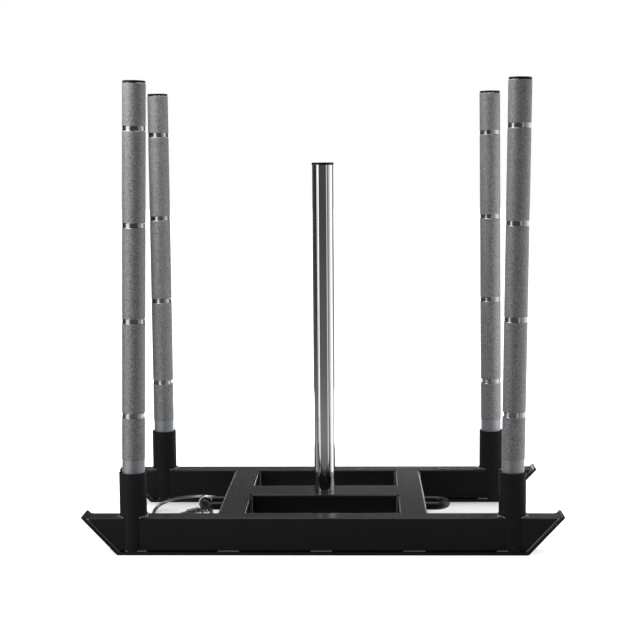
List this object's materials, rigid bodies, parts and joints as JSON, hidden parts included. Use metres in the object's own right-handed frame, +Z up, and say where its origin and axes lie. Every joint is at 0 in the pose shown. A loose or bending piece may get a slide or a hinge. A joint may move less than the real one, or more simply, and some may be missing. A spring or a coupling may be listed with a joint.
{
  "type": "push sled",
  "caption": "Black steel push sled on two ski runners, with a plate post on a welded deck, lift-out knurled push poles, tow eyes, and a shackle with a wire sling.",
  "frame": {"origin": "on the floor under the middle of the sled", "axes": "+Z up, X along the runners with the towed end that has the shackle at -X, Y across the sled with the runner nearest the picture's camera at -Y"},
  "size_m": [1.072, 0.5554, 1.0438],
  "materials": {
    "frame_paint": "fine black powder coat",
    "deck_paint": "fine black powder coat",
    "tow_eye_paint": "glossy black powder coat",
    "pole_steel": "satin grey plate, knurled grip with polished bands",
    "post_chrome": "polished chrome",
    "cap_plastic": "matte black",
    "bare_steel": "plain turned",
    "zinc_plate": "bright zinc",
    "shackle_steel": "polished",
    "cable_jacket": "clear jacket over wire rope",
    "ferrule_metal": "crimped, satin"
  },
  "bodies": {
    "sled_frame": {"left_sole_plate": "frame_paint", "left_runner_rail": "frame_paint", "left_rear_nose": "frame_paint", "left_front_nose": "frame_paint", "front_left_socket": "frame_paint", "rear_left_socket": "frame_paint", "right_sole_plate": "frame_paint", "right_runner_rail": "frame_paint", "right_rear_nose": "frame_paint", "right_front_nose": "frame_paint", "front_right_socket": "frame_paint", "rear_right_socket": "frame_paint", "front_cross_bar": "deck_paint", "rear_cross_bar": "deck_paint", "centre_bar": "deck_paint", "front_tow_eye": "tow_eye_paint", "rear_tow_eye": "tow_eye_paint", "post_tube": "post_chrome", "post_cap": "cap_plastic", "post_base_plug": "bare_steel", "post_washer": "zinc_plate", "post_lock_washer": "zinc_plate", "post_bolt": "zinc_plate", "post_spacer": "bare_steel"},
    "front_left_pole": {"front_left_pole": "pole_steel", "front_left_pole_cap": "cap_plastic"},
    "rear_left_pole": {"rear_left_pole": "pole_steel", "rear_left_pole_cap": "cap_plastic"},
    "front_right_pole": {"front_right_pole": "pole_steel", "front_right_pole_cap": "cap_plastic"},
    "rear_right_pole": {"rear_right_pole": "pole_steel", "rear_right_pole_cap": "cap_plastic"},
    "tow_shackle": {"tow_shackle_bow": "shackle_steel", "tow_cable": "cable_jacket", "tow_cable_ferrule": "ferrule_metal"},
    "shackle_pin": {"tow_shackle_pin": "shackle_steel"}
  },
  "joints": [
    {"name": "front_left_pole_lift", "type": "slide", "parent": "sled_frame", "child": "front_left_pole", "axis": [0.023, 0, 0.9997], "range_m": [0, 0.18]},
    {"name": "rear_left_pole_lift", "type": "slide", "parent": "sled_frame", "child": "rear_left_pole", "axis": [0.011, 0, 0.9999], "range_m": [0, 0.18]},
    {"name": "front_right_pole_lift", "type": "slide", "parent": "sled_frame", "child": "front_right_pole", "axis": [0, 0, 1], "range_m": [0, 0.18]},
    {"name": "rear_right_pole_lift", "type": "slide", "parent": "sled_frame", "child": "rear_right_pole", "axis": [-0.009, 0, 1], "range_m": [0, 0.18]},
    {"name": "tow_shackle_swing", "type": "hinge", "parent": "sled_frame", "child": "tow_shackle", "pos_m": [-0.28899, 0.0106, 0.0511], "axis": [0.3709, 0.9287, 0], "range_deg": [0, 90]},
    {"name": "shackle_pin_draw", "type": "slide", "parent": "tow_shackle", "child": "shackle_pin", "axis": [-0.9287, 0.3709, 0], "range_m": [0, 0.036]}
  ]
}
